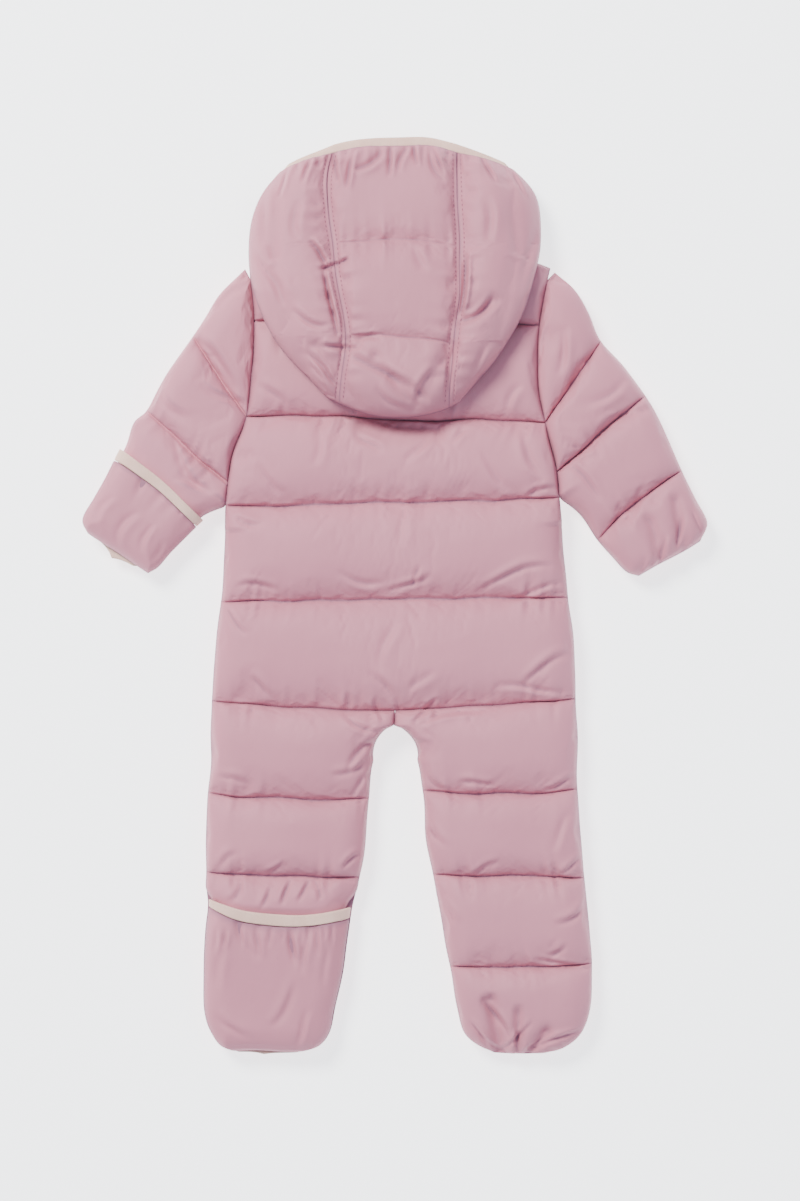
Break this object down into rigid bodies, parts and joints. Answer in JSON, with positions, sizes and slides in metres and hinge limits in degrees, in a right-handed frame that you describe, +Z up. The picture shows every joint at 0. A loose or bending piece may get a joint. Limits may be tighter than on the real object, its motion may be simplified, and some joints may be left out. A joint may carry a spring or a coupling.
{
  "type": "baby snowsuit",
  "caption": "Padded, quilted baby snowsuit laid face down, with a hood folded on its back, fold-over flaps at hands and feet, and elastic bindings.",
  "frame": {"origin": "middle of the floor under the suit, which lies face down", "axes": "+Z up, +Y towards the hood, +X towards the wearer's right hand"},
  "size_m": [0.5312, 0.7802, 0.0748],
  "materials": {
    "padded_shell": "dusty pink fine plain weave, soft sheen, over light wadding",
    "flap_cloth": "the same dusty pink cloth without wadding",
    "elastic_binding": "beige folded elastic with a fine rib, matte",
    "zip_tape": "woven tape, matte",
    "zip_slider": "satin"
  },
  "bodies": {
    "root": {"back_yoke": "padded_shell", "back_torso": "padded_shell", "front_left": "padded_shell", "front_right": "padded_shell", "leg_back_left": "padded_shell", "leg_back_right": "padded_shell", "leg_front_left": "padded_shell", "leg_front_right": "padded_shell", "sleeve_left": "padded_shell", "sleeve_right": "padded_shell", "hood_centre": "padded_shell", "hood_side_left": "padded_shell", "hood_side_right": "padded_shell", "hood_nape": "padded_shell", "hood_under": "padded_shell", "hand_flap_left": "flap_cloth", "hand_flap_right": "flap_cloth", "foot_flap_left": "flap_cloth", "foot_flap_right": "flap_cloth", "hood_binding": "elastic_binding", "hand_band_left": "elastic_binding", "hand_band_right": "elastic_binding", "foot_band_left": "elastic_binding", "foot_band_right": "elastic_binding", "cuff_binding_left": "elastic_binding", "foot_binding_left": "elastic_binding", "zip_tape_left": "zip_tape", "zip_tape_right": "zip_tape", "zip_chain": "zip_tape", "zip_pull": "zip_tape", "zip_slider": "zip_slider"}
  },
  "joints": []
}
